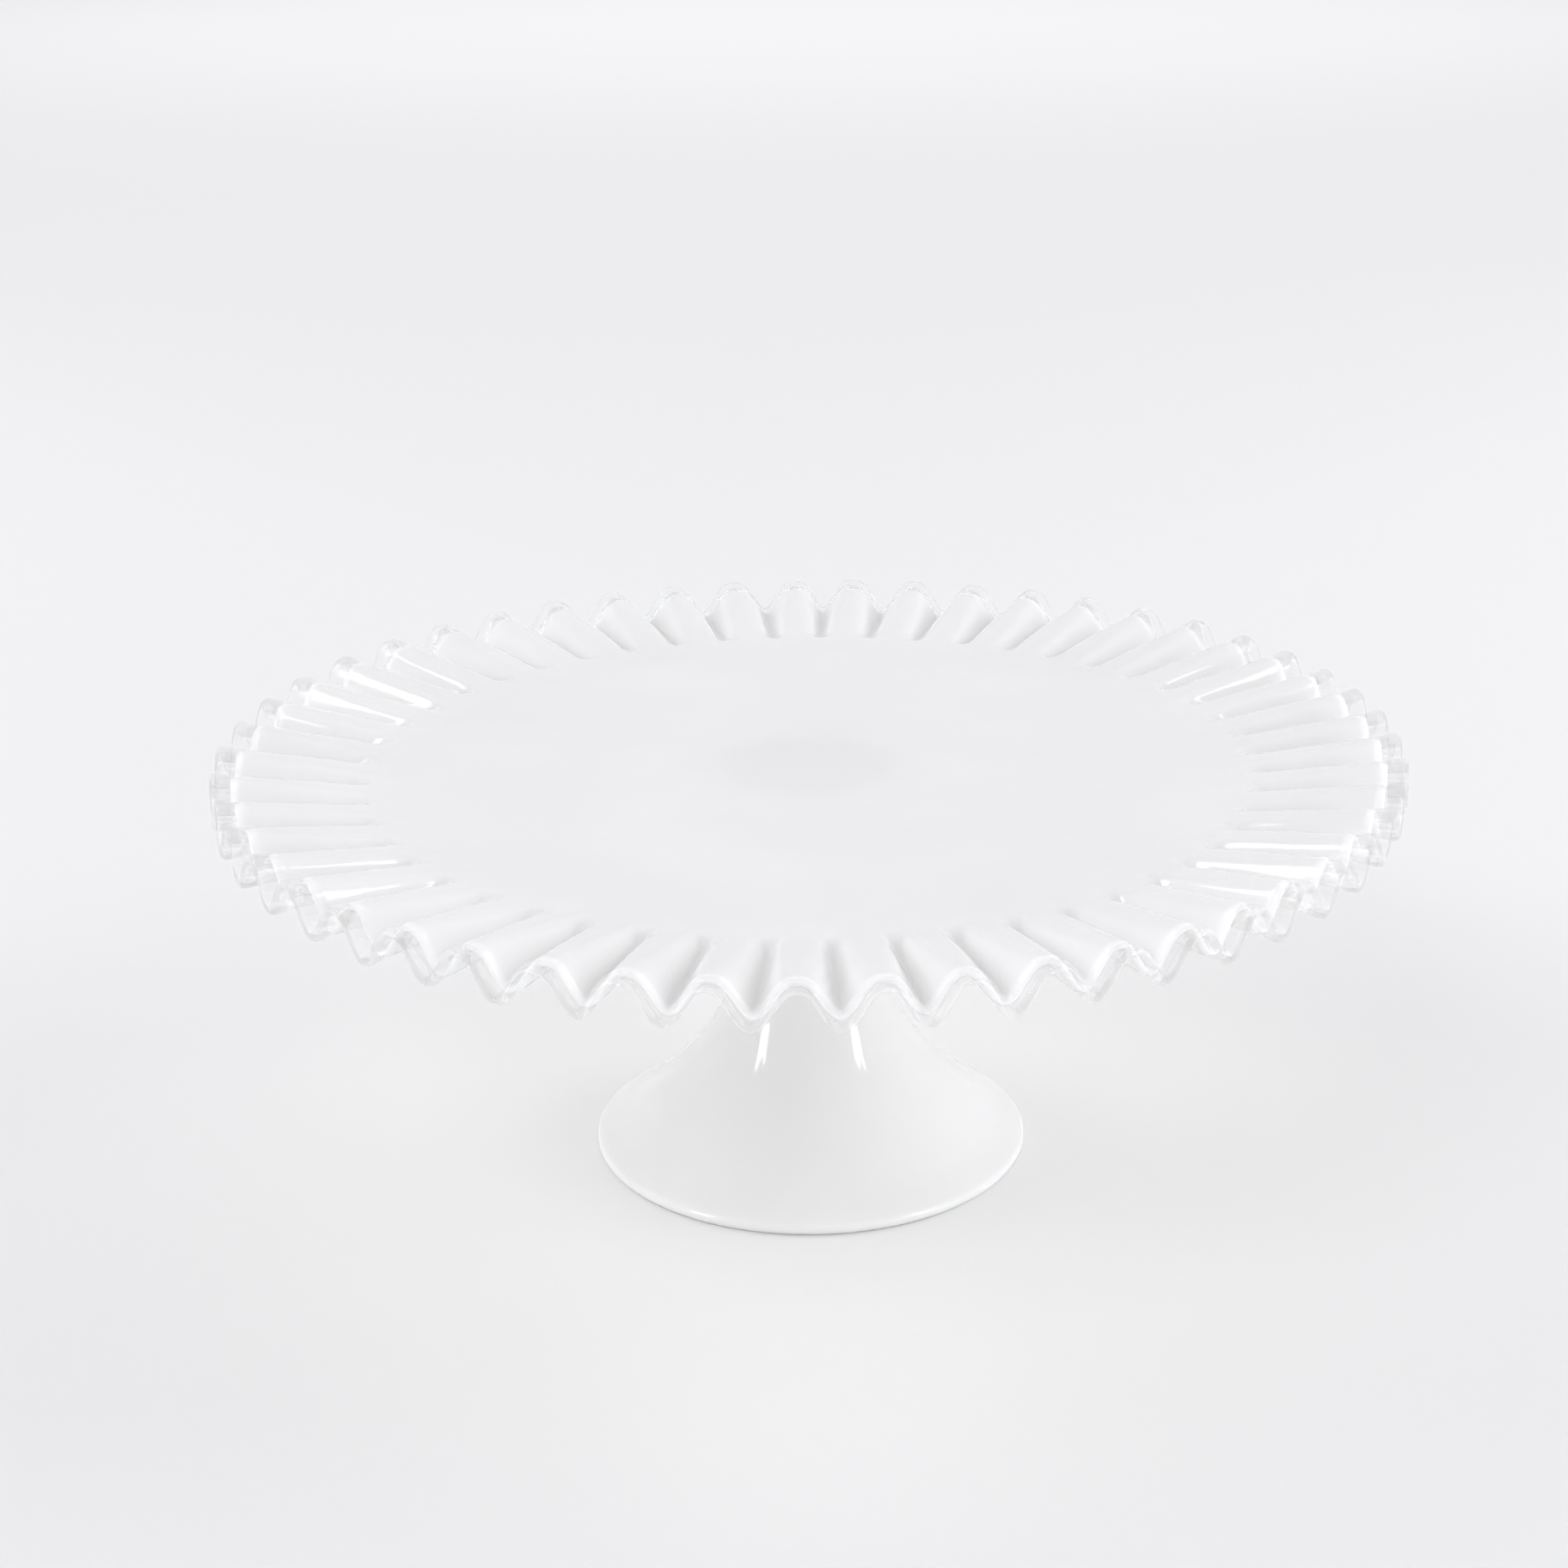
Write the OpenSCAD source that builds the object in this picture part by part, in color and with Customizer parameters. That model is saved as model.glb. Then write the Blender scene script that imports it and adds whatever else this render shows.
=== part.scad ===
// Footed cake stand in opal white glass. A round plate has a flat well and a crimped border of
// radial flutes. A band of clear glass is fused round the border's edge. The plate stands on a
// hollow flared foot, held by a wafer of glass laid hot between the two.
// Millimetres, +Z up. The origin is the centre of the foot's base circle, on the table.

/* [Plate] */
// Diameter over the clear edge
plate_d = 330; // [280:2:360]
// Height of the flat well above the table
well_top = 113; // [95:1:140]
// Diameter of the flat well, inside the flutes
well_d = 224; // [180:2:230]
// Glass thickness at the well
plate_t = 4; // [3.2:0.2:5]
// Glass thickness of the flutes at the edge
rim_t = 2.4; // [2:0.1:2.8]

/* [Crimps] */
// Number of flutes round the plate
crimps = 50; // [36:2:54]
// Height of a ridge's crown above the well, at the edge
ridge_rise = 7; // [4:0.5:8]
// Depth of a furrow below the well, at the edge
furrow_drop = 1.8; // [1:0.2:2.6]
// Small lift of the well's border before each furrow begins
border_lift = 0.4; // [0:0.1:0.8]

/* [Clear crest] */
// Width of the clear band
crest_w = 5; // [4:0.5:6]
// Thickness of the clear band at its bead
crest_t = 2.9; // [2.6:0.1:3.2]

/* [Foot] */
// Diameter of the foot at its lip
foot_d = 123; // [110:1:140]
// Extra spread of the foot just above its lip, in radius
lip_spread = 5.5; // [3:0.5:7]
// Diameter of the neck
neck_d = 32; // [30:1:38]
// Wall thickness of the foot
foot_wall = 3.6; // [3:0.2:4.4]
// Height over which the foot flares out
flare_h = 28; // [25:0.5:32]
// Height of the closed top of the foot's hollow
hollow_h = 88; // [60:1:88]

/* [Joint] */
// Thickness of the glass wafer between foot and plate
joint_h = 5.5; // [4:0.5:8]
// Diameter of the wafer
joint_d = 52; // [48:1:60]

/* [Hidden] */
// Step of a smooth round edge
$fn = 96;
// Columns of points to one crimp
steps = 8;
cols = crimps * steps;
well_r = well_d / 2;
crest_r = plate_d / 2;
milk_r = crest_r - crest_w;
foot_r = foot_d / 2;
neck_r = neck_d / 2;
lip_r = foot_wall / 2;
// Half the width of the flat ring that the lip stands on
lip_flat = 0.7;
// Turn of the rounded lip at which it meets the flare, and its height and radius there
lip_turn = 60;
lip_top = lip_r * (1 + sin(lip_turn));
lip_join = foot_r - lip_r * (1 - cos(lip_turn));
well_under = well_top - plate_t;
foot_top = well_under - joint_h;
foot_head_r = 22;
// Heights over which the lip's spread and the head's spread die away into the neck's curve
lip_fade = 3;
head_fade = 6;
// How sharply the flare turns out of the neck
flare_power = 1.35;
// Height of the hollow's rounded end, and where the hollow's own curve starts above the lip
dome_h = 8;
hollow_z = 5.6;
// Rows of points up the foot, outside and inside, closer together near the lip
out_rows = 26;
in_rows = 20;
row_power = 1.6;
// Places of the rings of points across the flutes, 0 at the well and 1 at the clear crest
top_rows = [0, 0.12, 0.2, 0.32, 0.6, 1];
under_rows = [1, 0.6, 0.3, 0];
// Section of the clear crest as part of its width and part of its thickness
crest_rows = [[0.5, 0.97], [0.92, 0.6], [1, 0]];
// Place where a ridge's crown stops curving up and climbs evenly
ramp = 0.25;
// Share of its slope that the glass leans with, outside the inner third
lean_share = 0.5;

// Soft step from 0 to 1
function ease(x) = let (t = min(1, max(0, x))) t * t * (3 - 2 * t);

// Value that goes softly from one to the other between two places
function blend(from, to, low, high, g) = from + (to - from) * ease((g - low) / (high - low));

// Place across the flutes, 0 at the well and 1 at the clear crest
function place(r) = (r - well_r) / (milk_r - well_r);

// Half the glass thickness
function half_t(g) = blend(plate_t, rim_t, 0, 0.625, g) / 2;

// Height of a ridge's crown over the well: it curves up, then climbs evenly
function crown(g) =
    let (curved = min(max(0, g), ramp), even = max(0, g) - curved)
    ridge_rise * (even + curved * curved / ramp / 2) / (1 - ramp / 2);

// Height of a furrow's floor over the well: a small lift, then a short drop
function floor_z(g) =
    blend(0, border_lift, 0, 0.2, g)
    - (border_lift + furrow_drop * (0.85 + 0.15 * g)) * blend(0, 1, 0.2, 0.32, g);

// Share of a furrow's depth round one crimp, by how far round it is. Inside, the furrow is narrow
// with a flat floor and steep flanks; at the edge the glass is an even wave.
function furrow(g, u, narrow) =
    let (x = pow(u, narrow), square = blend(0.8, 0, 0.3, 0.9, g))
    x + square * x * (1 - x) * (2 * x - 1);

// Share of the crown's height round one crimp. A furrow is wider in the lower skin.
function wave(g, turn, side) =
    let (narrow = side > 0 ? blend(2.8, 1.35, 0.25, 1.05, g) : blend(1.8, 1.35, 0, 1.05, g))
    1 - furrow(g, (1 - cos(turn)) / 2, narrow);

// Height of the middle of the glass
function mid_z(g, turn, side) =
    well_top - half_t(g) + floor_z(g) + (crown(g) - floor_z(g)) * wave(g, turn, side);

// Slope along the circle that the glass leans with
function slope(r, turn, side) =
    let (g = place(r), run = 2 * PI * r * 2 / 360 / crimps)
    blend(0.15, lean_share, 0.3, 0.8, g) * (mid_z(g, turn + 1, side) - mid_z(g, turn - 1, side)) / run;

// A point of the skin: half is the distance from the middle of the glass, positive upwards
function skin_point(r, i, half) =
    let (
        angle = 360 * i / cols,
        turn = angle * crimps,
        side = sign(half),
        s = slope(r, turn, side),
        n = sqrt(1 + s * s),
        a = angle - half * s / n / r * 180 / PI
    )
    [r * cos(a), r * sin(a), mid_z(place(r), turn, side) + half / n];

// One ring of points
function skin_ring(r, half) = [for (i = [0:cols - 1]) skin_point(r, i, half)];

// Triangles between two rings
function ring_faces(a, b, outward) = [
    for (i = [0:cols - 1])
        let (
            j = (i + 1) % cols,
            p = a * cols + i,
            q = a * cols + j,
            s = b * cols + j,
            t = b * cols + i
        )
        each outward ? [[p, q, s], [p, s, t]] : [[p, s, q], [p, t, s]]
];

function row_r(g) = well_r + g * (milk_r - well_r);

// Outer radius of the foot at a height
function foot_out(z) =
    neck_r
    + (lip_join - lip_spread - neck_r) * exp(-pow(max(0, z - lip_top) / flare_h, flare_power))
    + lip_spread * exp(-(z - lip_top) / lip_fade)
    + (foot_head_r - neck_r) * exp((z - foot_top) / head_fade);

// Point of the hollow: the outer point moved inwards by the wall
function foot_in(z) =
    let (
        s = (foot_out(z + 0.5) - foot_out(z - 0.5)),
        n = sqrt(1 + s * s)
    )
    [foot_out(z) - foot_wall / n, z + foot_wall * s / n];

out_zs = [for (k = [1:out_rows]) lip_top + (foot_top - lip_top) * pow(k / out_rows, row_power)];
in_zs = [
    for (k = [0:in_rows])
        hollow_z + (hollow_h - dome_h - hollow_z) * pow(1 - k / in_rows, row_power)
];
hollow_end = foot_in(in_zs[0]);

// Opal plate: flat well and crimped border
module plate() {
    rings = [
        for (g = top_rows) skin_ring(row_r(g), half_t(g)),
        for (g = under_rows) skin_ring(row_r(g), -half_t(g))
    ];
    last = len(rings) - 1;
    color("white")
        polyhedron(
            points = [for (ring = rings) each ring],
            faces = [
                [for (i = [cols - 1:-1:0]) i],
                for (k = [0:last - 1]) each ring_faces(k, k + 1, true),
                [for (i = [0:cols - 1]) last * cols + i]
            ],
            convexity = 10
        );
}

// Clear glass crest fused round the plate's edge
module crest() {
    tip = len(crest_rows) - 1;
    rings = [
        skin_ring(milk_r, -half_t(1)),
        for (c = crest_rows) skin_ring(milk_r + c[0] * crest_w, -c[1] * crest_t / 2),
        for (k = [tip - 1:-1:0])
            skin_ring(milk_r + crest_rows[k][0] * crest_w, crest_rows[k][1] * crest_t / 2),
        skin_ring(milk_r, half_t(1))
    ];
    count = len(rings);
    color("lightblue", 0.5)
        polyhedron(
            points = [for (ring = rings) each ring],
            faces = [for (k = [0:count - 1]) each ring_faces(k, (k + 1) % count, false)],
            convexity = 10
        );
}

// Wafer of opal glass that joins the foot to the underside of the plate
module joint_wafer() {
    r = joint_d / 2;
    half = joint_h / 2;
    color("gainsboro")
        translate([0, 0, foot_top])
        rotate_extrude()
        polygon([
            [0, 0],
            [foot_head_r, 0],
            for (t = [-60:15:60]) [r - half + half * cos(t), half + half * sin(t)],
            [r - half, joint_h],
            [0, joint_h]
        ]);
}

// Hollow flared foot with a rounded lip
module foot() {
    color("white")
        rotate_extrude()
        polygon([
            [foot_r - lip_r - lip_flat, 0],
            [foot_r - lip_r + lip_flat, 0],
            for (t = [-65:15:-5]) [foot_r - lip_r + lip_r * cos(t), lip_r + lip_r * sin(t)],
            [foot_r, lip_r],
            for (t = [lip_turn / 4:lip_turn / 4:lip_turn])
                [foot_r - lip_r + lip_r * cos(t), lip_r + lip_r * sin(t)],
            for (z = out_zs) [foot_out(z), z],
            [0, foot_top],
            for (t = [90:-15:15]) [hollow_end[0] * cos(t), hollow_end[1] + dome_h * sin(t)],
            for (z = in_zs) foot_in(z),
            [foot_r - foot_wall, 1]
        ]);
}

plate();
crest();
joint_wafer();
foot();
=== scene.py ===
import math
import bpy
from mathutils import Matrix, Vector


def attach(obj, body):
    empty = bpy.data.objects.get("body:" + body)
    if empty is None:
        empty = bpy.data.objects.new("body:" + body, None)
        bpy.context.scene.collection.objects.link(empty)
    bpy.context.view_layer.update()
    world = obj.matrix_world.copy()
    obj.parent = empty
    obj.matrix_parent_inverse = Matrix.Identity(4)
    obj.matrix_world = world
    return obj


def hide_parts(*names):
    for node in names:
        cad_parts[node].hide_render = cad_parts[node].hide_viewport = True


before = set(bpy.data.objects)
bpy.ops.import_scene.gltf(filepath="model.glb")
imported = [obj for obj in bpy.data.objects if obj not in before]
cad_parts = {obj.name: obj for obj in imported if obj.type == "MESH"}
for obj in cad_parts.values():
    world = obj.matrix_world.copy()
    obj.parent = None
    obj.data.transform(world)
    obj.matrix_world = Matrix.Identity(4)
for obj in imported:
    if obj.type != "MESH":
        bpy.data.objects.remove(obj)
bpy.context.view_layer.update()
scene = bpy.context.scene
print("frame loaded:", ", ".join(sorted(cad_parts)))


def toLinear(hexText):  # sRGB hex to the linear colour a shader takes
    parts = [int(hexText[i:i + 2], 16) / 255 for i in (1, 3, 5)]
    return [c / 12.92 if c <= 0.04045 else ((c + 0.055) / 1.055) ** 2.4 for c in parts] + [1.0]


def addNode(tree, kind, settings=None, links=None):
    # one node with its settings, and its inputs linked to a socket or set to a value
    node = tree.nodes.new(kind)
    for key, value in (settings or {}).items():
        setattr(node, key, value)
    for key, value in (links or {}).items():
        if isinstance(value, bpy.types.NodeSocket):
            tree.links.new(value, node.inputs[key])
        else:
            node.inputs[key].default_value = value
    return node


def newMaterial(name):
    material = bpy.data.materials.new(name)
    material.use_nodes = True
    material.node_tree.nodes.clear()
    return material, material.node_tree


def stops(node, *points):  # colour ramp stops: place and sRGB hex
    ramp = node.color_ramp
    while len(ramp.elements) < len(points):
        ramp.elements.new(0.5)
    for element, (place, colour) in zip(ramp.elements, points):
        element.position = place
        element.color = toLinear(colour)


def ease(x):  # soft step from 0 to 1
    t = min(1.0, max(0.0, x))
    return t * t * (3 - 2 * t)


def latheMesh(name, outline, columns, closed):
    # turns (radius, height) points about Z; closed joins the last ring to the first
    verts, faces, rings = [], [], []
    for radius, height in outline:
        if radius < 1e-7:
            rings.append([len(verts)])
            verts.append((0.0, 0.0, height))
            continue
        rings.append(list(range(len(verts), len(verts) + columns)))
        for i in range(columns):
            turn = 2 * math.pi * i / columns
            verts.append((radius * math.sin(turn), -radius * math.cos(turn), height))
    pairs = list(zip(rings, rings[1:])) + ([(rings[-1], rings[0])] if closed else [])
    for a, b in pairs:
        for i in range(0 if len(a) == len(b) == 1 else columns):
            j = (i + 1) % columns
            if len(a) == 1:
                faces.append((a[0], b[j], b[i]))
            elif len(b) == 1:
                faces.append((a[j], b[0], a[i]))
            else:
                faces.append((a[j], b[j], b[i], a[i]))
    mesh = bpy.data.meshes.new(name)
    mesh.from_pydata(verts, [], faces)
    mesh.update()
    return mesh


def addObject(name, mesh):
    obj = bpy.data.objects.new(name, mesh)
    scene.collection.objects.link(obj)
    return obj


opalLook = {
    "cloudMm": 60, "cloudDark": "#EFEFEE", "cloudPale": "#F3F3F2",
    "rippleMm": 14, "rippleStrength": 0.05, "rippleDepthMm": 1.0,
    "glowDepthMm": 3.2, "glow": 0.85, "roughness": 0.06, "roughnessDrift": 0.02, "ior": 1.5,
}


def opalGlass(name):
    # opal (milk) glass, pressed and fire-polished: a dense, nearly neutral white that light enters
    # a little way, faintly clouded in the gather, with the slow ripple of a surface that has flowed
    look = opalLook
    material, tree = newMaterial(name)
    place = addNode(tree, "ShaderNodeTexCoord").outputs["Object"]
    cloud = addNode(tree, "ShaderNodeTexNoise", links={
        "Vector": place, "Scale": 1000 / look["cloudMm"], "Detail": 2.0})
    tint = addNode(tree, "ShaderNodeValToRGB", links={"Fac": cloud.outputs["Fac"]})
    stops(tint, (0.3, look["cloudDark"]), (0.7, look["cloudPale"]))
    ripple = addNode(tree, "ShaderNodeTexNoise", links={
        "Vector": place, "Scale": 1000 / look["rippleMm"], "Detail": 1.5, "Roughness": 0.4})
    bump = addNode(tree, "ShaderNodeBump", links={
        "Strength": look["rippleStrength"], "Distance": look["rippleDepthMm"] / 1000,
        "Height": ripple.outputs["Fac"]})
    haze = addNode(tree, "ShaderNodeMapRange", links={
        "Value": cloud.outputs["Fac"], "To Min": look["roughness"] - look["roughnessDrift"],
        "To Max": look["roughness"] + look["roughnessDrift"]})
    body = addNode(tree, "ShaderNodeBsdfPrincipled", {"subsurface_method": "RANDOM_WALK"}, {
        "Base Color": tint.outputs["Color"], "Roughness": haze.outputs["Result"],
        "Normal": bump.outputs["Normal"], "IOR": look["ior"],
        "Subsurface Weight": look["glow"], "Subsurface Radius": (1.0, 1.0, 1.0),
        "Subsurface Scale": look["glowDepthMm"] / 1000})
    addNode(tree, "ShaderNodeOutputMaterial", links={"Surface": body.outputs["BSDF"]})
    return material


crestLook = {
    "tint": "#FFFFFF", "roughness": 0.015, "ior": 1.5, "body": 0.35,
    "toolMm": 9, "toolStrength": 0.035, "toolDepthMm": 1.0,
}


def clearGlass(name):
    # clear glass, spun on hot and crimped: colourless, fire-polished and very bright, with the slow
    # waviness that the crimping tool leaves
    look = crestLook
    material, tree = newMaterial(name)
    place = addNode(tree, "ShaderNodeTexCoord").outputs["Object"]
    tool = addNode(tree, "ShaderNodeTexNoise", links={
        "Vector": place, "Scale": 1000 / look["toolMm"], "Detail": 1.0})
    bump = addNode(tree, "ShaderNodeBump", links={
        "Strength": look["toolStrength"], "Distance": look["toolDepthMm"] / 1000,
        "Height": tool.outputs["Fac"]})
    body = addNode(tree, "ShaderNodeBsdfPrincipled", links={
        "Base Color": toLinear(look["tint"]), "Roughness": look["roughness"], "IOR": look["ior"],
        "Transmission Weight": 1.0, "Alpha": look["body"], "Normal": bump.outputs["Normal"]})
    # lamps shine on through it, onto the white glass inside
    rays = addNode(tree, "ShaderNodeLightPath")
    passed = addNode(tree, "ShaderNodeBsdfTransparent", links={"Color": toLinear(look["tint"])})
    mixed = addNode(tree, "ShaderNodeMixShader", links={
        "Fac": rays.outputs["Is Shadow Ray"], 1: body.outputs["BSDF"], 2: passed.outputs["BSDF"]})
    addNode(tree, "ShaderNodeOutputMaterial", links={"Surface": mixed.outputs["Shader"]})
    return material


plateGlass = opalGlass("opalGlassFirePolished")
footGlass = opalGlass("opalGlassPressed")
jointGlass = opalGlass("opalGlassHotJoint")
crestGlass = clearGlass("clearGlassCrimped")
print("materials made")


# the plate and its clear crest are flat blanks that one rule crimps
plate = {  # metres
    "wellRadius": 0.112, "milkRadius": 0.160, "wellTop": 0.113,
    "wellThickness": 0.004, "rimThickness": 0.0024, "thinnedAt": 0.625,  # share of the flutes
    "columnsPerCrimp": 24, "crimps": 50,
    "wellRings": (0.0, 0.03, 0.06, 0.085, 0.1, 0.107, 0.110),
    "fluteRings": 24, "ringPower": 1.3, "flutesEnd": 0.0034,
    # the rounded tip inside the crest: how far back from its end, and its share of the thickness
    "tip": ((0.0029, 0.97), (0.0023, 0.85), (0.0017, 0.66), (0.0012, 0.45), (0.0008, 0.24)),
    "tipEnd": 0.0006,
}
crimping = {  # what the crimping tool does, by the names of the tree's inputs
    "Crimps": float(plate["crimps"]), "Well radius": plate["wellRadius"],
    "Milk radius": plate["milkRadius"], "Well top": plate["wellTop"],
    "Well thickness": plate["wellThickness"], "Rim thickness": plate["rimThickness"],
    "Ridge rise": 0.007, "Furrow drop": 0.0018, "Border lift": 0.0004, "Ramp": 0.25,
    # a furrow's narrowness inside and at the edge, and how square it is cut inside
    "Narrow inside": 2.8, "Narrow inside under": 1.8, "Narrow at edge": 1.35, "Square": 0.8,
    "Lean inside": 0.15, "Lean at edge": 0.5,  # share of its slope that the glass leans with
    "Start turn": -0.126,  # radians round from the front
    "Spacing drift front": 0.0416, "Spacing drift side": -0.0124,
    "Spacing drift front twice": 0.0112, "Spacing drift side twice": -0.0228,
    "Oval": 0.0154, "Three-sided": 0.0084, "Lean across": 0.0072, "Lean back": -0.0044,
    "Hand wander": 0.05, "Hand height": 0.10, "Hand edge": 0.006, "Hand scale": 6.0, "Seed": 4.0,
}


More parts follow.
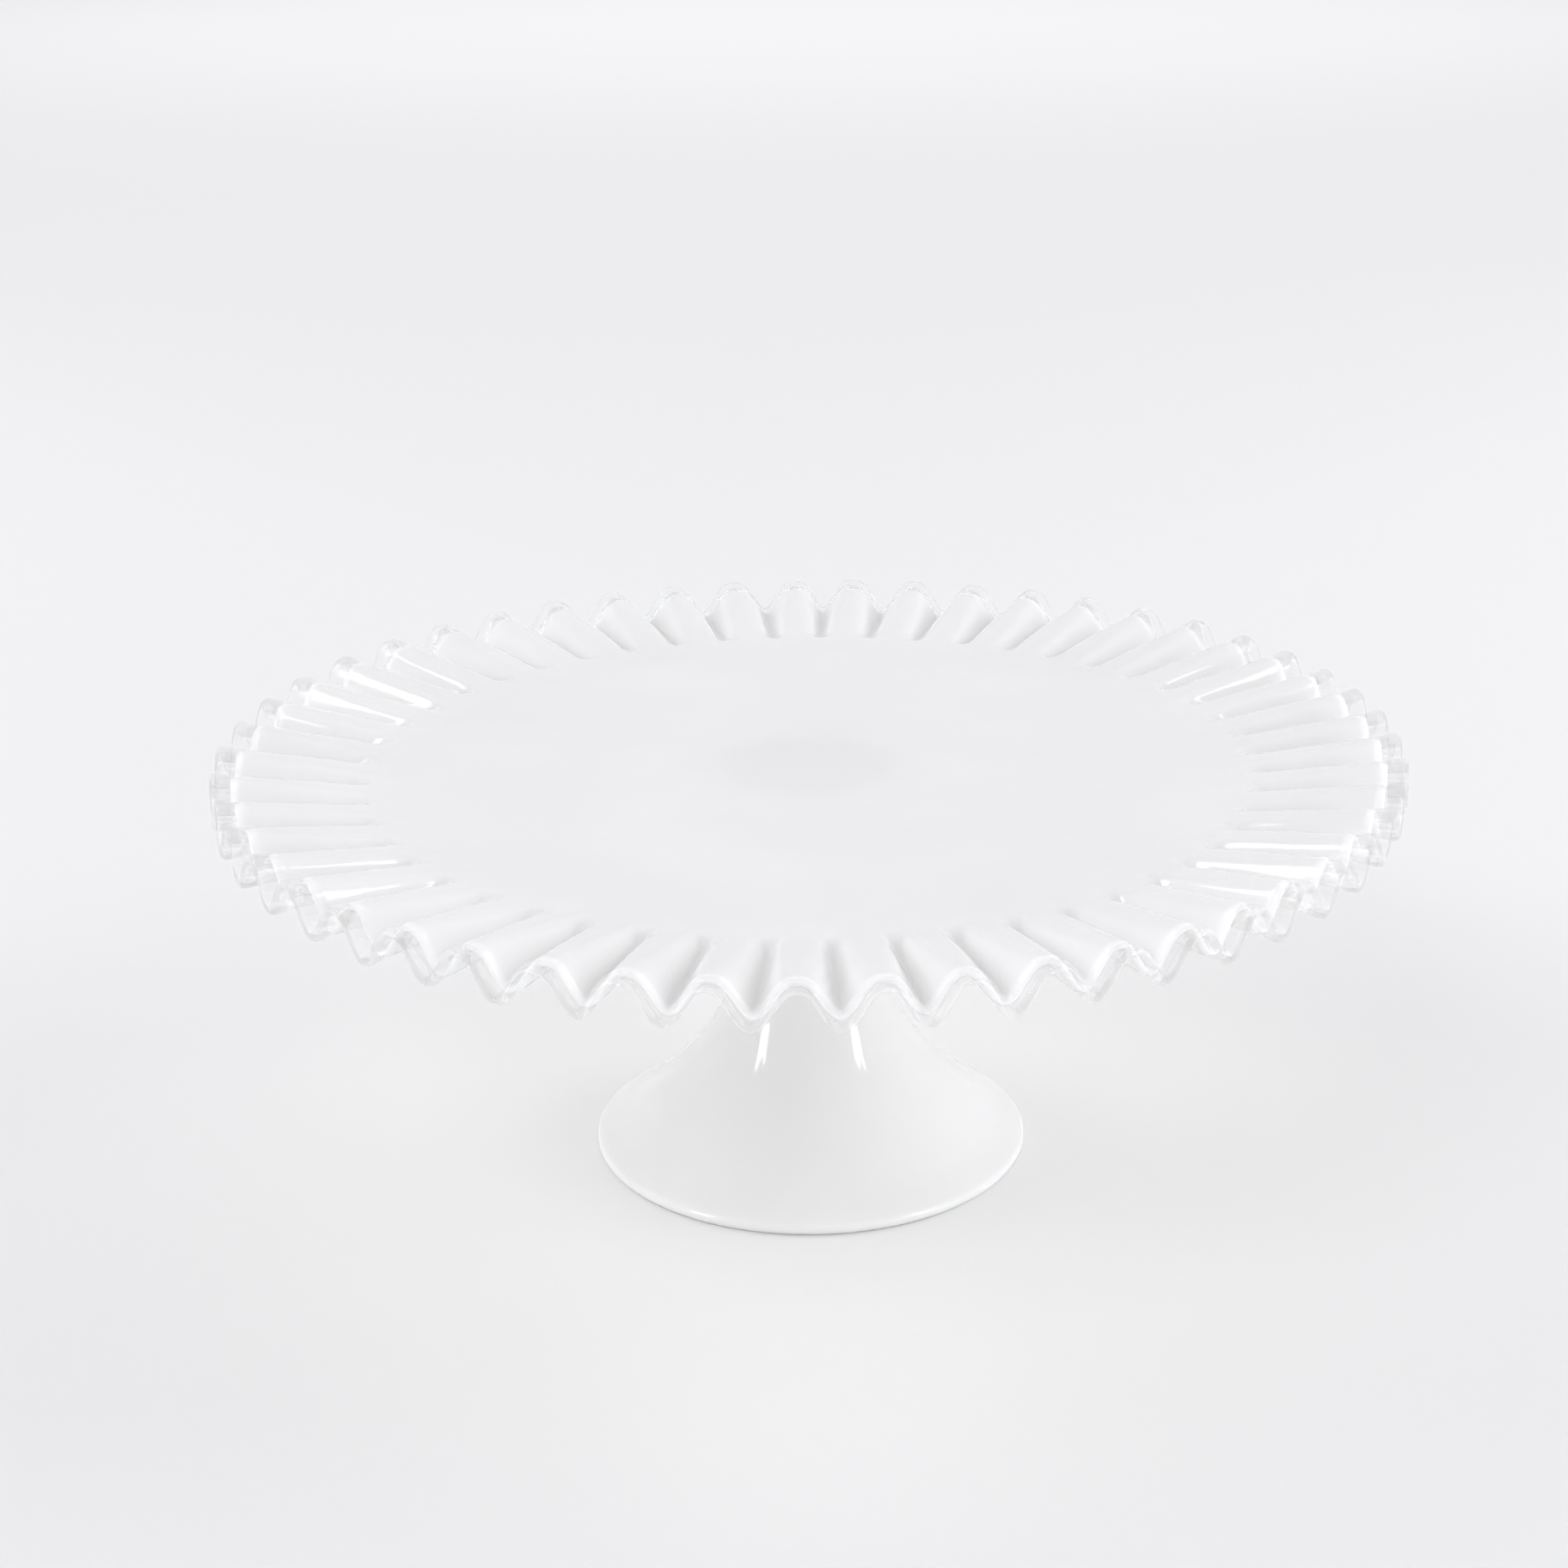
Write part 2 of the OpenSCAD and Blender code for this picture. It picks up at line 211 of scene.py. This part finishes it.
def crimpTree():
    tree = bpy.data.node_groups.new("crimpedBorder", "GeometryNodeTree")
    face = tree.interface
    face.new_socket("Geometry", in_out="INPUT", socket_type="NodeSocketGeometry")
    for name, value in crimping.items():
        socket = face.new_socket(name, in_out="INPUT", socket_type="NodeSocketFloat")
        socket.default_value = value
    face.new_socket("Material", in_out="INPUT", socket_type="NodeSocketMaterial")
    face.new_socket("Geometry", in_out="OUTPUT", socket_type="NodeSocketGeometry")
    given = addNode(tree, "NodeGroupInput")
    at = {name: given.outputs[name] for name in crimping}
    place = addNode(tree, "GeometryNodeInputPosition")
    split = addNode(tree, "ShaderNodeSeparateXYZ", links={0: place.outputs["Position"]})
    at.update(x=split.outputs["X"], y=split.outputs["Y"], h=split.outputs["Z"])

    def work(*steps):  # (name, operation, inputs...): each step is one Math node
        for name, operation, *sources in steps:
            links = {i: at[s] if isinstance(s, str) else s for i, s in enumerate(sources)}
            at[name] = addNode(tree, "ShaderNodeMath", {"operation": operation}, links).outputs[0]

    work(
        ("minus y", "MULTIPLY", "y", -1.0),
        ("xx", "MULTIPLY", "x", "x"),
        ("rr", "MULTIPLY_ADD", "y", "y", "xx"),
        ("radius", "SQRT", "rr"),
        ("angle", "ARCTAN2", "x", "minus y"),  # from the front, round to the right
        # the hand's drift in spacing, slow round the circle
        ("from start", "SUBTRACT", "angle", "Start turn"),
        ("twice", "MULTIPLY", "from start", 2.0),
        ("sin 1", "SINE", "from start"),
        ("cos 1", "COSINE", "from start"),
        ("sin 2", "SINE", "twice"),
        ("cos 2", "COSINE", "twice"),
        ("drift a", "MULTIPLY", "sin 1", "Spacing drift side"),
        ("drift b", "MULTIPLY_ADD", "cos 1", "Spacing drift front", "drift a"),
        ("drift c", "MULTIPLY_ADD", "sin 2", "Spacing drift side twice", "drift b"),
        ("drift", "MULTIPLY_ADD", "cos 2", "Spacing drift front twice", "drift c"),
        ("even angle", "SUBTRACT", "from start", "drift"),
        ("sin a", "SINE", "angle"),
        ("cos a", "COSINE", "angle"),
    )
    # uneven spots from crimp to crimp: noise read along a circle, so that it closes
    ringPoint = addNode(tree, "ShaderNodeCombineXYZ", links={"X": at["sin a"], "Y": at["cos a"]})
    wander = addNode(tree, "ShaderNodeTexNoise", {"noise_dimensions": "4D"}, {
        "Vector": ringPoint.outputs[0], "W": at["Seed"], "Scale": at["Hand scale"],
        "Detail": 0.0})
    hand = addNode(tree, "FunctionNodeSeparateColor", links={0: wander.outputs["Color"]})
    at.update(handA=hand.outputs[0], handB=hand.outputs[1], handC=hand.outputs[2])
    work(
        ("wander", "SUBTRACT", "handA", 0.5),
        ("wander turns", "MULTIPLY", "wander", "Hand wander"),
        ("wander angle", "MULTIPLY", "wander turns", 4 * math.pi),
        ("whole turn", "MULTIPLY", "even angle", "Crimps"),
        ("late turn", "ADD", "whole turn", "wander angle"),
        ("turn", "ADD", "late turn", math.pi),
        # place across the flutes: 0 at the well, 1 at the clear crest
        ("past well", "SUBTRACT", "radius", "Well radius"),
        ("flute run", "SUBTRACT", "Milk radius", "Well radius"),
        ("g", "DIVIDE", "past well", "flute run"),
    )

    def soft(name, source, low, high, first, last):  # soft step between two values
        at[name] = addNode(tree, "ShaderNodeMapRange", {"interpolation_type": "SMOOTHSTEP"}, {
            "Value": at[source], "From Min": low, "From Max": high,
            "To Min": at.get(first, first), "To Max": at.get(last, last)}).outputs["Result"]

    soft("thickness", "g", 0.0, plate["thinnedAt"], "Well thickness", "Rim thickness")
    soft("lift", "g", 0.0, 0.2, 0.0, "Border lift")
    soft("onset", "g", 0.2, 0.32, 0.0, 1.0)
    soft("narrow top", "g", 0.25, 1.05, "Narrow inside", "Narrow at edge")
    soft("narrow under", "g", 0.0, 1.05, "Narrow inside under", "Narrow at edge")
    soft("square", "g", 0.3, 0.9, "Square", 0.0)
    soft("tilted", "g", 0.3, 0.8, "Lean inside", "Lean at edge")
    work(
        ("half", "MULTIPLY", "thickness", 0.5),
        ("is top", "GREATER_THAN", "h", 0.0),
        ("narrow gap", "SUBTRACT", "narrow top", "narrow under"),
        ("narrow", "MULTIPLY_ADD", "narrow gap", "is top", "narrow under"),
        ("deeper", "MULTIPLY_ADD", "g", 0.15, 0.85),
        ("drop", "MULTIPLY_ADD", "Furrow drop", "deeper", "Border lift"),
        ("sunk", "MULTIPLY", "drop", "onset"),
        ("floor", "SUBTRACT", "lift", "sunk"),
        # the crown curves up out of the well, then climbs evenly
        ("not below", "MAXIMUM", "g", 0.0),
        ("curved part", "MINIMUM", "not below", "Ramp"),
        ("curved square", "MULTIPLY", "curved part", "curved part"),
        ("curved rise", "DIVIDE", "curved square", "Ramp"),
        ("half curved", "MULTIPLY", "curved rise", 0.5),
        ("even part", "SUBTRACT", "not below", "curved part"),
        ("climb", "ADD", "even part", "half curved"),
        ("half ramp", "MULTIPLY", "Ramp", 0.5),
        ("whole climb", "SUBTRACT", 1.0, "half ramp"),
        ("crown share", "DIVIDE", "climb", "whole climb"),
        ("uneven", "SUBTRACT", "handB", 0.5),
        ("uneven rise", "MULTIPLY_ADD", "uneven", "Hand height", 1.0),
        ("rise", "MULTIPLY", "Ridge rise", "uneven rise"),
        ("crown", "MULTIPLY", "crown share", "rise"),
        ("depth", "SUBTRACT", "crown", "floor"),
        ("cos turn", "COSINE", "turn"),
        ("sin turn", "SINE", "turn"),
        ("one less cos", "SUBTRACT", 1.0, "cos turn"),
        ("u", "MULTIPLY", "one less cos", 0.5),
        ("furrow", "POWER", "u", "narrow"),
        ("not furrow", "SUBTRACT", 1.0, "furrow"),
        ("flank", "MULTIPLY", "furrow", "not furrow"),
        ("off flank", "MULTIPLY_ADD", "furrow", 2.0, -1.0),
        ("bend", "MULTIPLY", "flank", "off flank"),
        ("squared furrow", "MULTIPLY_ADD", "bend", "square", "furrow"),
        ("wave", "SUBTRACT", 1.0, "squared furrow"),
        ("under well", "SUBTRACT", "Well top", "half"),
        ("low", "ADD", "under well", "floor"),
        ("mid", "MULTIPLY_ADD", "depth", "wave", "low"),
        # slope along the circle, so that the glass keeps its thickness on the flanks
        ("narrow less", "SUBTRACT", "narrow", 1.0),
        ("furrow side", "POWER", "u", "narrow less"),
        ("slope a", "MULTIPLY", "furrow side", "sin turn"),
        ("slope b", "MULTIPLY", "slope a", "narrow"),
        ("flank gain", "MULTIPLY_ADD", "flank", 6.0, -1.0),
        ("steeper", "MULTIPLY_ADD", "flank gain", "square", 1.0),
        ("slope s", "MULTIPLY", "slope b", "steeper"),
        ("slope c", "MULTIPLY", "slope s", "depth"),
        ("slope d", "MULTIPLY", "slope c", "Crimps"),
        ("slope e", "DIVIDE", "slope d", "radius"),
        ("whole slope", "MULTIPLY", "slope e", -0.5),
        ("slope", "MULTIPLY", "whole slope", "tilted"),
        ("n n", "MULTIPLY_ADD", "slope", "slope", 1.0),
        ("n", "SQRT", "n n"),
        ("up", "DIVIDE", "h", "n"),
        ("aside", "MULTIPLY", "up", "slope"),
        ("aside angle", "DIVIDE", "aside", "radius"),
        ("new angle", "SUBTRACT", "angle", "aside angle"),
        # outline: a little oval and a little three-sided
        ("angle 2", "MULTIPLY", "angle", 2.0),
        ("angle 3", "MULTIPLY", "angle", 3.0),
        ("cos 2a", "COSINE", "angle 2"),
        ("cos 3a", "COSINE", "angle 3"),
        ("oval", "MULTIPLY", "cos 2a", "Oval"),
        ("outline a", "MULTIPLY_ADD", "cos 3a", "Three-sided", "oval"),
        ("uneven edge", "SUBTRACT", "handC", 0.5),
        ("outline b", "MULTIPLY_ADD", "uneven edge", "Hand edge", "outline a"),
        ("radius share", "DIVIDE", "radius", "Milk radius"),
        ("outline c", "MULTIPLY", "outline b", "radius share"),
        ("outline", "ADD", "outline c", 1.0),
        ("new radius", "MULTIPLY", "radius", "outline"),
        ("new sin", "SINE", "new angle"),
        ("new cos", "COSINE", "new angle"),
        ("new x", "MULTIPLY", "new radius", "new sin"),
        ("new y a", "MULTIPLY", "new radius", "new cos"),
        ("new y", "MULTIPLY", "new y a", -1.0),
        ("z a", "ADD", "mid", "up"),
        ("z b", "MULTIPLY_ADD", "new x", "Lean across", "z a"),
        ("new z", "MULTIPLY_ADD", "new y", "Lean back", "z b"),
    )
    moved = addNode(tree, "ShaderNodeCombineXYZ", links={
        "X": at["new x"], "Y": at["new y"], "Z": at["new z"]})
    shaped = addNode(tree, "GeometryNodeSetPosition", links={
        "Geometry": given.outputs["Geometry"], "Position": moved.outputs[0]})
    smooth = addNode(tree, "GeometryNodeSetShadeSmooth", links={
        "Geometry": shaped.outputs["Geometry"]})
    real = addNode(tree, "GeometryNodeRealizeInstances", links={0: smooth.outputs[0]})
    painted = addNode(tree, "GeometryNodeSetMaterial", links={
        "Geometry": real.outputs[0], "Material": given.outputs["Material"]})
    addNode(tree, "NodeGroupOutput", links={0: painted.outputs["Geometry"]})
    return tree


def crimped(name, outline, closed, material, tree):
    columns = plate["crimps"] * plate["columnsPerCrimp"]
    blank = addObject(name + "Blank", latheMesh(name + "Blank", outline, columns, closed))
    modifier = blank.modifiers.new("crimp", "NODES")
    modifier.node_group = tree
    for item in tree.interface.items_tree:
        if item.item_type == "SOCKET" and item.in_out == "INPUT" and item.name in crimping:
            modifier[item.identifier] = crimping[item.name]
        if item.item_type == "SOCKET" and item.name == "Material":
            modifier[item.identifier] = material
    depsgraph = bpy.context.evaluated_depsgraph_get()
    mesh = bpy.data.meshes.new_from_object(blank.evaluated_get(depsgraph), depsgraph=depsgraph)
    mesh.name = name
    bpy.data.objects.remove(blank)
    return addObject(name, mesh)


def halfThickness(radius):
    g = (radius - plate["wellRadius"]) / (plate["milkRadius"] - plate["wellRadius"])
    thick, thin = plate["wellThickness"], plate["rimThickness"]
    return (thick + (thin - thick) * ease(g / plate["thinnedAt"])) / 2


def plateOutline():
    milk, well = plate["milkRadius"], plate["wellRadius"]
    run = milk - plate["flutesEnd"] - well
    count = plate["fluteRings"]
    radii = list(plate["wellRings"])
    radii += [well + run * (i / count) ** plate["ringPower"] for i in range(count + 1)]
    top = [(r, halfThickness(r)) for r in radii]
    # inside the crest the white glass thins to a rounded tip
    top += [(milk - back, halfThickness(milk) * share) for back, share in plate["tip"]]
    under = [(r, -h) for r, h in reversed(top)]
    return list(reversed(top + [(milk - plate["tipEnd"], 0.0)] + under))


crest = {  # metres
    "radius": 0.165, "beadThickness": 0.0029,
    # the part that laps over the white glass: how far back from its edge, and its share of the
    # rim's thickness
    "lap": ((0.0042, 0.93), (0.0033, 0.985), (0.0024, 1.0), (0.0012, 1.01), (0.0, 1.03)),
    # shares of the way out to the edge, with the share of the bead's thickness at the first
    "shoulder": (0.3, 0.97), "beadStart": 0.62, "beadRings": 9,
}


def crestOutline():
    milk, bead = plate["milkRadius"], crest["beadThickness"] / 2
    run = crest["radius"] - milk
    upper = [(milk - back, plate["rimThickness"] / 2 * share) for back, share in crest["lap"]]
    out, share = crest["shoulder"]
    upper.append((milk + run * out, bead * share))
    start = milk + run * crest["beadStart"]
    for step in range(crest["beadRings"]):  # the rounded bead
        turn = math.pi / 2 * step / crest["beadRings"]
        upper.append((start + run * (1 - crest["beadStart"]) * math.sin(turn),
                      bead * math.cos(turn)))
    under = [(r, -h) for r, h in reversed(upper)]
    return list(reversed(upper + [(crest["radius"], 0.0)] + under))


tree = crimpTree()
platePiece = crimped("crimpedPlate", plateOutline(), False, plateGlass, tree)
crestPiece = crimped("clearCrest", crestOutline(), True, crestGlass, tree)
print("plate and crest crimped:", len(platePiece.data.polygons),
      len(crestPiece.data.polygons), "faces")


foot = {  # metres, and degrees for the turn of the rounded lip
    "lipRadius": 0.0615, "lipFlat": 0.0007, "lipFrom": -68, "lipTurn": 60, "wall": 0.0036,
    "neckRadius": 0.016, "flareHeight": 0.028, "flarePower": 1.35,
    "lipSpread": 0.0055, "lipFade": 0.003, "top": 0.1035, "headRadius": 0.022, "headFade": 0.006,
    "hollowStart": 0.0056, "hollowTop": 0.088, "domeHeight": 0.008,
    # the hollow's own lip: how far in from the wall, and how high
    "hollowLip": ((0.0012, 0.0016), (-0.0002, 0.0006)),
    "columns": 192, "lipRows": 16, "outRows": 60, "outPower": 1.7, "inRows": 40, "inPower": 1.6,
    "slopeStep": 0.001,
}


def footOut(z):  # outer radius at a height above the rounded lip
    f = foot
    turn = math.radians(f["lipTurn"])
    above = max(0.0, z - f["wall"] / 2 * (1 + math.sin(turn)))
    lip = f["lipRadius"] - f["wall"] / 2 * (1 - math.cos(turn))
    bell = lip - f["lipSpread"] - f["neckRadius"]
    return (f["neckRadius"] + bell * math.exp(-(above / f["flareHeight"]) ** f["flarePower"])
            + f["lipSpread"] * math.exp(-above / f["lipFade"])
            + (f["headRadius"] - f["neckRadius"]) * math.exp((z - f["top"]) / f["headFade"]))


def footIn(z):  # point of the hollow: the outer point moved in by the wall
    step = foot["slopeStep"]
    slope = (footOut(z + step / 2) - footOut(z - step / 2)) / step
    n = math.sqrt(1 + slope * slope)
    return footOut(z) - foot["wall"] / n, z + foot["wall"] * slope / n


def footOutline():
    f = foot
    lip, bend = f["lipRadius"], f["wall"] / 2
    points = [(lip - bend - f["lipFlat"], 0.0), (lip - bend + f["lipFlat"], 0.0)]
    for step in range(1, f["lipRows"] + 1):
        turn = math.radians(f["lipFrom"] + (f["lipTurn"] - f["lipFrom"]) * step / f["lipRows"])
        points.append((lip - bend + bend * math.cos(turn), bend + bend * math.sin(turn)))
    lipTop, rows = points[-1][1], f["outRows"]
    heights = [lipTop + (f["top"] - lipTop) * (k / rows) ** f["outPower"]
               for k in range(1, rows + 1)]
    points += [(footOut(z), z) for z in heights]
    points.append((0.0, f["top"]))
    # the hollow, down from its rounded end
    start, rows = f["hollowStart"], f["inRows"]
    heights = [start + (f["hollowTop"] - f["domeHeight"] - start) * (1 - k / rows) ** f["inPower"]
               for k in range(rows + 1)]
    endRadius, endHeight = footIn(heights[0])
    for degrees in range(90, 0, -15):
        turn = math.radians(degrees)
        points.append((endRadius * math.cos(turn), endHeight + f["domeHeight"] * math.sin(turn)))
    points += [footIn(z) for z in heights]
    points += [(lip - f["wall"] - inwards, height) for inwards, height in f["hollowLip"]]
    return points


footPiece = addObject("flaredFoot",
                      latheMesh("flaredFoot", footOutline(), foot["columns"], True))


joint = {  # metres, and degrees for how far its edge is rounded
    "thickness": 0.0058, "radius": 0.026, "sink": 0.0003, "inset": 0.001, "drop": 0.0002,
    "edgeTurn": 70, "edgeStep": 14, "columns": 128,
}


def jointOutline():
    half, top = joint["thickness"] / 2, foot["top"]
    low = top - joint["sink"]
    points = [(0.0, low), (foot["headRadius"] - joint["inset"], low)]
    for degrees in range(-joint["edgeTurn"], joint["edgeTurn"] + 1, joint["edgeStep"]):
        turn = math.radians(degrees)
        points.append((joint["radius"] - half + half * math.cos(turn),
                       top + half - joint["drop"] + half * math.sin(turn)))
    high = top + joint["thickness"]
    return points + [(joint["radius"] - half, high), (0.0, high)]


jointPiece = addObject("jointWafer",
                       latheMesh("jointWafer", jointOutline(), joint["columns"], False))
for piece, material in ((footPiece, footGlass), (jointPiece, jointGlass)):
    piece.data.materials.append(material)
    piece.data.shade_smooth()
print("foot and joint turned")

for piece, node, slotName in (
        (platePiece, "plate", "opal_plate"), (crestPiece, "crest", "clear_crest"),
        (footPiece, "foot", "opal_foot"), (jointPiece, "joint_wafer", "opal_joint")):
    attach(piece, "root")
    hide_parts(node)


studio = {
    "floorColour": "#F5F5F4", "floorRoughness": 0.6, "floorGloss": 0.45, "floorReach": 12.0,
    "lightColour": "#FCFCFF",
    "horizon": 0.955, "zenith": 0.52, "backShare": 0.8,
    "boxWatts": 11.0, "shinePower": 15.0, "frontWatts": 1.9, "farWatts": 69.0,
    "rightWatts": 14.0, "leftWatts": 12.0, "keyWatts": 6.0,
}
# matt background paper, plain and unmarked; from below it isn't there
floorMaterial, floorTree = newMaterial("paperSweepMatt")
floorBody = addNode(floorTree, "ShaderNodeBsdfPrincipled", links={
    "Base Color": toLinear(studio["floorColour"]), "Roughness": studio["floorRoughness"],
    "Specular IOR Level": studio["floorGloss"]})
side = addNode(floorTree, "ShaderNodeNewGeometry")
through = addNode(floorTree, "ShaderNodeBsdfTransparent")
floorMix = addNode(floorTree, "ShaderNodeMixShader", links={
    "Fac": side.outputs["Backfacing"], 1: floorBody.outputs["BSDF"], 2: through.outputs["BSDF"]})
addNode(floorTree, "ShaderNodeOutputMaterial", links={"Surface": floorMix.outputs["Shader"]})
floorMesh = bpy.data.meshes.new("floor")
reach = studio["floorReach"]
corners = [(-reach, -reach, 0), (reach, -reach, 0), (reach, reach, 0), (-reach, reach, 0)]
floorMesh.from_pydata(corners, [], [(0, 1, 2, 3)])
floor = addObject("floor", floorMesh)
floor.data.materials.append(floorMaterial)

world = bpy.data.worlds.new("studioWorld")
scene.world = world
world.use_nodes = True
world.node_tree.nodes.clear()
# a dome of light, brightest low down at the sides and in front, as large diffusers give
toward = addNode(world.node_tree, "ShaderNodeTexCoord").outputs["Generated"]
aim = addNode(world.node_tree, "ShaderNodeSeparateXYZ", links={0: toward})
low = addNode(world.node_tree, "ShaderNodeMapRange", {"interpolation_type": "SMOOTHSTEP"}, {
    "Value": aim.outputs["Z"], "From Min": 0.15, "From Max": 0.85,
    "To Min": studio["horizon"], "To Max": studio["zenith"]})
behind = addNode(world.node_tree, "ShaderNodeMapRange", {"interpolation_type": "SMOOTHSTEP"}, {
    "Value": aim.outputs["Y"], "From Min": 0.1, "From Max": 0.8,
    "To Min": 1.0, "To Max": studio["backShare"]})
glow = addNode(world.node_tree, "ShaderNodeMath", {"operation": "MULTIPLY"}, {
    0: low.outputs["Result"], 1: behind.outputs["Result"]})
sky = addNode(world.node_tree, "ShaderNodeBackground", links={
    "Color": toLinear(studio["lightColour"]), "Strength": glow.outputs[0]})
addNode(world.node_tree, "ShaderNodeOutputWorld", links={"Surface": sky.outputs["Background"]})


def softbox(name, place, target, width, height, watts):
    light = bpy.data.lights.new(name, "AREA")
    light.shape = "RECTANGLE"
    light.size, light.size_y, light.energy = width, height, watts
    light.color = toLinear(studio["lightColour"])[:3]
    obj = bpy.data.objects.new(name, light)
    scene.collection.objects.link(obj)
    obj.location = place
    obj.rotation_euler = (Vector(target) - Vector(place)).to_track_quat("-Z", "Y").to_euler()
    obj.visible_camera = False
    return obj


def around(azimuth, elevation, distance):  # a place by its bearing from the front, to the right
    a, e = math.radians(azimuth), math.radians(elevation)
    flat = distance * math.cos(e)
    return (flat * math.sin(a), -flat * math.cos(a), distance * math.sin(e))


# low boxes that shine on the foot, and high ones that shine on the flutes
for name, turn, width, height in (("Left", -1, 1.0, 0.9), ("Right", 1, 0.5, 0.6)):
    lowBox = softbox("lowBox" + name, around(60 * turn, 26, 2.4), (0, 0, 0.06), 0.4, 0.9,
                     studio["boxWatts"])
    high = softbox("highBox" + name, around(88 * turn, 55, 2.4), (0, 0, 0.11), width, height,
                   studio["shinePower"] * width * height)
    lowBox.visible_diffuse = high.visible_diffuse = False
# soft fill that adds no highlights of its own
front = softbox("softFront", around(45, 13, 1.3), (0, 0, 0.04), 0.5, 0.3, studio["frontWatts"])
right = softbox("softRight", around(100, 28, 2.2), (0, 0, 0.05), 1.4, 1.2, studio["rightWatts"])
left = softbox("softLeft", around(-100, 28, 2.2), (0, 0, 0.05), 1.4, 1.2, studio["leftWatts"])
far = softbox("softFar", (0.0, 4.4, 3.0), (0.0, 4.4, 0.0), 5.0, 3.5, studio["farWatts"])
key = softbox("softKey", around(-32, 47, 2.5), (0, 0, 0.1), 1.1, 0.8, studio["keyWatts"])
for lamp in (front, right, left, far, key):
    lamp.visible_glossy = False

view = {  # the camera's place and lens
    "lensMm": 62.8, "sensorMm": 36.0, "distance": 0.757, "elevation": 19.77,
    "aimHeight": 0.1073, "roll": 0.35, "shiftX": -0.0156,
}
cameraData = bpy.data.cameras.new("camera")
cameraData.sensor_width = view["sensorMm"]
cameraData.lens = view["lensMm"]
cameraData.shift_x = view["shiftX"]
camera = bpy.data.objects.new("camera", cameraData)
scene.collection.objects.link(camera)
tilt = math.radians(view["elevation"])
back = Vector((0.0, -math.cos(tilt), math.sin(tilt)))
facing = (-back).to_track_quat("-Z", "Y").to_matrix().to_4x4()
rolled = facing @ Matrix.Rotation(-math.radians(view["roll"]), 4, "Z")
stood = Vector((0, 0, view["aimHeight"])) + back * view["distance"]
camera.matrix_world = Matrix.Translation(stood) @ rolled
scene.camera = camera
scene.view_settings.view_transform = "Standard"
print("studio set")
